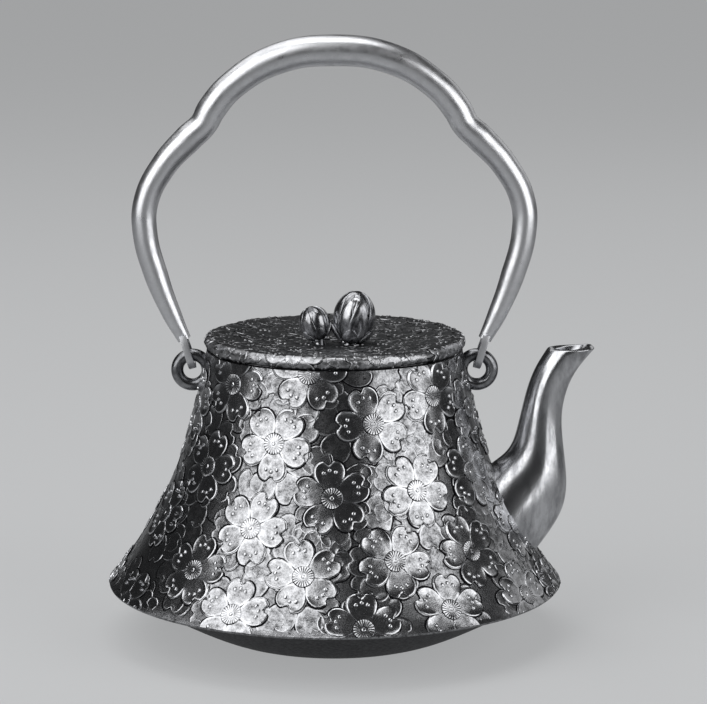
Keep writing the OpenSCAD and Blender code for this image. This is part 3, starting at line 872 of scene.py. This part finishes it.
# %% Round the hooks' edges
for name in ("rear_hook", "front_hook"):
    hook = copy_of(nodes[name])
    hook.parent = None
    for key in list(hook.keys()):       # the copy starts without the frame's own notes on the node
        del hook[key]
    hook.name = hook.data.name = "rounded_" + name
    pick_only(hook)
    bpy.ops.object.mode_set(mode="EDIT")
    bpy.ops.mesh.select_all(action="SELECT")
    bpy.ops.mesh.customdata_custom_splitnormals_clear()
    bpy.ops.mesh.remove_doubles(threshold=1e-6)
    bpy.ops.mesh.dissolve_limited(angle_limit=math.radians(1))
    bpy.ops.object.mode_set(mode="OBJECT")
    apply_modifier(hook, "BEVEL", width=0.4 * MM, segments=3,
                   limit_method="ANGLE", angle_limit=math.radians(50))
    bpy.ops.object.shade_smooth_by_angle(angle=math.radians(40))
    hook.data.materials.clear()
    hook.data.materials.append(hook_steel)
    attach(hook, "handle")
    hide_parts(name)
    print(hook.name, count_triangles(hook), "triangles")

# %% [markdown]
# ## Buds
# The knob is two cherry buds. On each, petals overlap like shells round an egg,
# and pointed sepals hold the base.
# A sphere is shaped to the egg. Each petal starts as a grid, is bent round it, and Solidify thickens it.
# Sculpting one lump would be quicker, but real folds need edges that lie over each other.
# The solids are plain eggs, so these buds replace them, down to the tenons and their ends under the lid.

# %% One petal of a bud
def bud_leaf(profile, direction, half, top, lift, side, thick, dent=0):
    """A pointed leaf that hugs the bud. Direction and half width are in degrees, top is a share of the
    bud's length, lift is in mm off it, and side is how much further out its right edge stands."""
    bpy.ops.mesh.primitive_grid_add(x_subdivisions=14, y_subdivisions=20, size=2 * MM, location=(0, 0, 0))
    leaf = bpy.context.object
    last = len(profile) - 1
    for vertex in leaf.data.vertices:
        u, v = vertex.co.x / MM, min(max((vertex.co.y / MM + 1) / 2, 0), 1)
        place = v * top * last
        k = min(int(place), last - 1)
        r, z = (profile[k][a] + (profile[k + 1][a] - profile[k][a]) * (place - k) for a in (0, 1))
        wide = half * max(0, 1 - v ** 2.4) ** 0.75 * (0.65 + 0.35 * min(1, v / 0.35))
        off = lift + side * u + 0.3 * (1 - u * u) * math.sin(math.pi * v)
        off -= dent * math.exp(-((u + 0.1) / 0.3) ** 2 - ((v - 0.42) / 0.2) ** 2)
        r += off * min(1, (r + 0.4) / 2.5)
        angle = math.radians(direction + u * wide)
        vertex.co = (r * math.sin(angle) * MM, -r * math.cos(angle) * MM, (z + 0.12 * off) * MM)
    pick_only(leaf)
    bpy.ops.object.mode_set(mode="EDIT")
    bpy.ops.mesh.select_all(action="SELECT")
    bpy.ops.mesh.remove_doubles(threshold=1e-5)
    bpy.ops.object.mode_set(mode="OBJECT")
    apply_modifier(leaf, "SOLIDIFY", thickness=thick * MM, offset=-1)
    apply_modifier(leaf, "SUBSURF", levels=1, render_levels=1)
    return leaf


# %% The bud's post
def turned_post(rows, x):
    """A round post drawn as (radius, height) rows from its lower end up, standing at x."""
    radius, z = rows[0]
    bpy.ops.mesh.primitive_circle_add(vertices=32, radius=radius * MM, fill_type="NGON", location=(0, 0, 0))
    post = bpy.context.object
    post.data.transform(Matrix.Translation((0, 0, z * MM)))
    bpy.ops.object.mode_set(mode="EDIT")
    bpy.ops.mesh.select_all(action="SELECT")
    for (r, z), (next_r, next_z) in zip(rows, rows[1:]):
        grow_ring(next_r / r, next_z - z, (0, 0))
    bpy.ops.object.mode_set(mode="OBJECT")
    face_outwards(post)
    post.data.transform(Matrix.Translation((x * MM, 0, 0)))
    return post


# %% One whole bud
def model_bud(name, foot, lean, height, shape, leaves, sepals, post):
    """Foot is x and z, shape three radii of the egg from its base up, all in mm; lean is in degrees."""
    profile = bezier_row(
        [(shape[0], 0), (shape[1], 0.14 * height), (shape[2], 0.92 * height), (0, height)], 60)
    bpy.ops.mesh.primitive_uv_sphere_add(segments=48, ring_count=32, radius=MM, location=(0, 0, 0))
    core = bpy.context.object
    for vertex in core.data.vertices:
        share = math.acos(max(-1, min(1, -vertex.co.z / MM))) / math.pi
        r, z = profile[round(share * 60)]
        r *= share > 0              # the lower pole closes the core
        around = math.atan2(vertex.co.x, -vertex.co.y)
        vertex.co = (r * math.sin(around) * MM, -r * math.cos(around) * MM, z * MM)
    parts = [core] + [bud_leaf(profile, *leaf) for leaf in leaves]
    first, half, top, lift = sepals
    parts += [bud_leaf(profile, first + petal_turn * k, half, top, lift, 0, 0.7) for k in range(5)]
    for k in range(5):              # beads between the sepals
        bpy.ops.mesh.primitive_uv_sphere_add(
            segments=12, ring_count=8, radius=0.8 * MM, location=(0, 0, 0))
        bead = bpy.context.object
        around = math.radians(first + petal_turn * (k + 0.5))
        bead.data.transform(Matrix.Translation(
            Vector((math.sin(around), -math.cos(around), 0.1)) * (shape[0] + 1.2) * MM))
        parts.append(bead)
    bud = join_all(parts, name)
    x, z = foot
    stand = Matrix.Translation((x * MM, 0, z * MM))
    bud.data.transform(stand @ Matrix.Rotation(math.radians(lean), 4, "Y"))
    bud = join_all([bud, turned_post(post, x)], name)
    pick_only(bud)
    bpy.ops.object.shade_smooth_by_angle(angle=math.radians(50))
    bud.data.materials.append(bud_iron)
    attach(bud, "lid")
    print(name, [round(d / MM, 1) for d in bud.dimensions], "mm")
    return bud


# %% Model both buds
# Each leaf: direction, half width, top, lift, side, thickness, dent.
# The sepals: direction of the first, half width, top, lift.
large = model_bud(
    "large_bud_petals", (5.5, 109.0), 10, 19.6, (2.2, 9.1, 9.8),
    [(15, 34, 0.79, 0.95, 0, 0.8, 1.3), (-26, 27, 0.9, 0.55, 0.25, 0.7), (-70, 36, 0.95, 0.15, 0.2, 0.6),
     (72, 38, 0.97, 0.35, -0.35, 0.7), (12, 26, 0.985, 0.4, 0, 0.7), (130, 45, 0.93, 0.5, 0.2, 0.7),
     (-122, 40, 0.94, 0.45, -0.25, 0.7), (-175, 42, 0.97, 0.1, 0.1, 0.6)], (-4, 35, 0.34, 1.35),
    [(2.9, 102.4), (3.1, 102.6), (3.1, 103.4), (2, 103.4), (2, 108.4), (2.9, 108.5), (2.6, 109.4),
     (2.4, 111)])
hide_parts("large_bud")
small = model_bud(
    "small_bud_petals", (-5.5, 110.3), -17, 12.8, (1.7, 6.1, 7.0),
    [(-28, 34, 0.96, 0.6, 0.15, 0.6, 0.3), (28, 42, 0.97, 0.15, 0.25, 0.5), (-72, 34, 0.93, 0.3, -0.2, 0.5),
     (95, 42, 0.96, 0.4, -0.2, 0.6), (160, 42, 0.95, 0.15, 0.15, 0.5), (-128, 42, 0.95, 0.25, 0.15, 0.5)],
    (15, 35, 0.4, 1.0),
    [(2.4, 102.4), (2.6, 102.6), (2.6, 103.4), (1.6, 103.4), (1.6, 108.4), (2.3, 108.5), (2.0, 109.4),
     (1.9, 110.6)])
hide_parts("small_bud")

# %% [markdown]
# ## Finishes of the solids
# The pan, the lugs, the lid's plate and the two washers are turned or bent shapes that are right already.
# They could be modelled again, but a solid that fits its neighbours is best left, and only gets its finish.
# The replaced solids are hidden. They get the finish of the piece that stands for them.

# %% Give each solid its finish
# the lid's ground, cast rough and rubbed over: dull grey with black pits
lid_iron = relief_finish("blackened_lid_iron", "#1a1a1c", "#b4b5b8", 0.33, 0.8, 0.38, 1.2)
finishes = (
    (ground_iron, ("body_shell",)),
    (black_cast, ("base_pan",)),
    (burnished, ("spout",)),
    (lug_iron, ("rear_lug", "front_lug")),
    (lid_iron, ("lid_plate",)),
    (bud_iron, ("large_bud", "small_bud")),
    (satin_steel, ("bail", "large_bud_washer", "small_bud_washer")),
    (hook_steel, ("rear_hook", "front_hook")))
for material, names in finishes:
    for name in names:
        nodes[name].data.materials.clear()
        nodes[name].data.materials.append(material)
print("finished solids:", sum(len(names) for _, names in finishes), "of", len(nodes))
